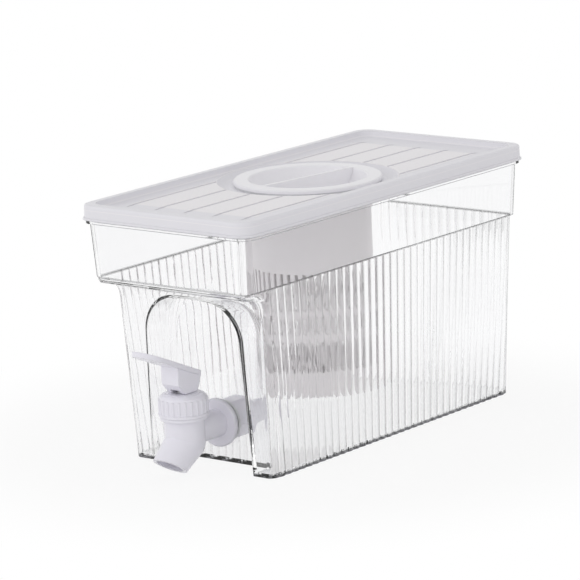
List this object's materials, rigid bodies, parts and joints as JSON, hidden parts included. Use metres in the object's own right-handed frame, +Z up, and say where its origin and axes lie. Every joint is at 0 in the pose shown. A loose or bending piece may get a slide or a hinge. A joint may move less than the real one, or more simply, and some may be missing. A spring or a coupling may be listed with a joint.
{
  "type": "fridge water jug with tap",
  "caption": "Clear fluted fridge jug with a white tray lid, a round filler cap over a hanging strainer basket, and a lever tap in an arched front recess.",
  "frame": {"origin": "on the table under the middle of the whole jug, tap lever included", "axes": "+Z up, -Y out of the front with the tap, +X to the right of someone who looks along +Y at the front"},
  "size_m": [0.14, 0.3244, 0.17],
  "materials": {
    "clear": "clear, glossy",
    "white": "satin white",
    "tap_white": "glossy white",
    "stem_white": "matt white",
    "silicone": "matt, translucent white"
  },
  "bodies": {
    "jug": {"jar_body": "clear", "tap_body": "tap_white", "tap_outer_washer": "silicone", "tap_inner_washer": "silicone", "tap_lock_nut": "tap_white", "bonnet_nut": "tap_white", "valve_cup": "silicone"},
    "lid": {"lid": "white"},
    "strainer": {"strainer_basket": "white"},
    "seal": {"cap_seal": "silicone"},
    "cap": {"filler_cap": "white"},
    "stem": {"valve_stem": "stem_white"},
    "lever": {"tap_lever": "tap_white"}
  },
  "joints": [
    {"name": "lid_lift", "type": "slide", "parent": "jug", "child": "lid", "axis": [0, 0, 1], "range_m": [0, 0.15]},
    {"name": "strainer_lift", "type": "slide", "parent": "lid", "child": "strainer", "axis": [0, 0, 1], "range_m": [0, 0.15]},
    {"name": "cap_lift", "type": "slide", "parent": "strainer", "child": "seal", "axis": [0, 0, 1], "range_m": [0, 0.04]},
    {"name": "cap_turn", "type": "hinge", "parent": "seal", "child": "cap", "pos_m": [0, 0.01325, 0.1678], "axis": [0, 0, 1], "range_deg": [0, 90]},
    {"name": "stem_lift", "type": "slide", "parent": "jug", "child": "stem", "axis": [0, 0, 1], "range_m": [0, 0.0023], "deforming": ["valve_cup"]},
    {"name": "lever_press", "type": "hinge", "parent": "stem", "child": "lever", "pos_m": [0, -0.12125, 0.0615], "axis": [1, 0, 0], "range_deg": [0, 25], "stiffness_Nm_per_rad": 0.35, "springref_deg": -6.88}
  ],
  "couplings": [
    {"joint": "lever_press", "follows": "stem_lift", "rad_per_m": 189.5}
  ]
}
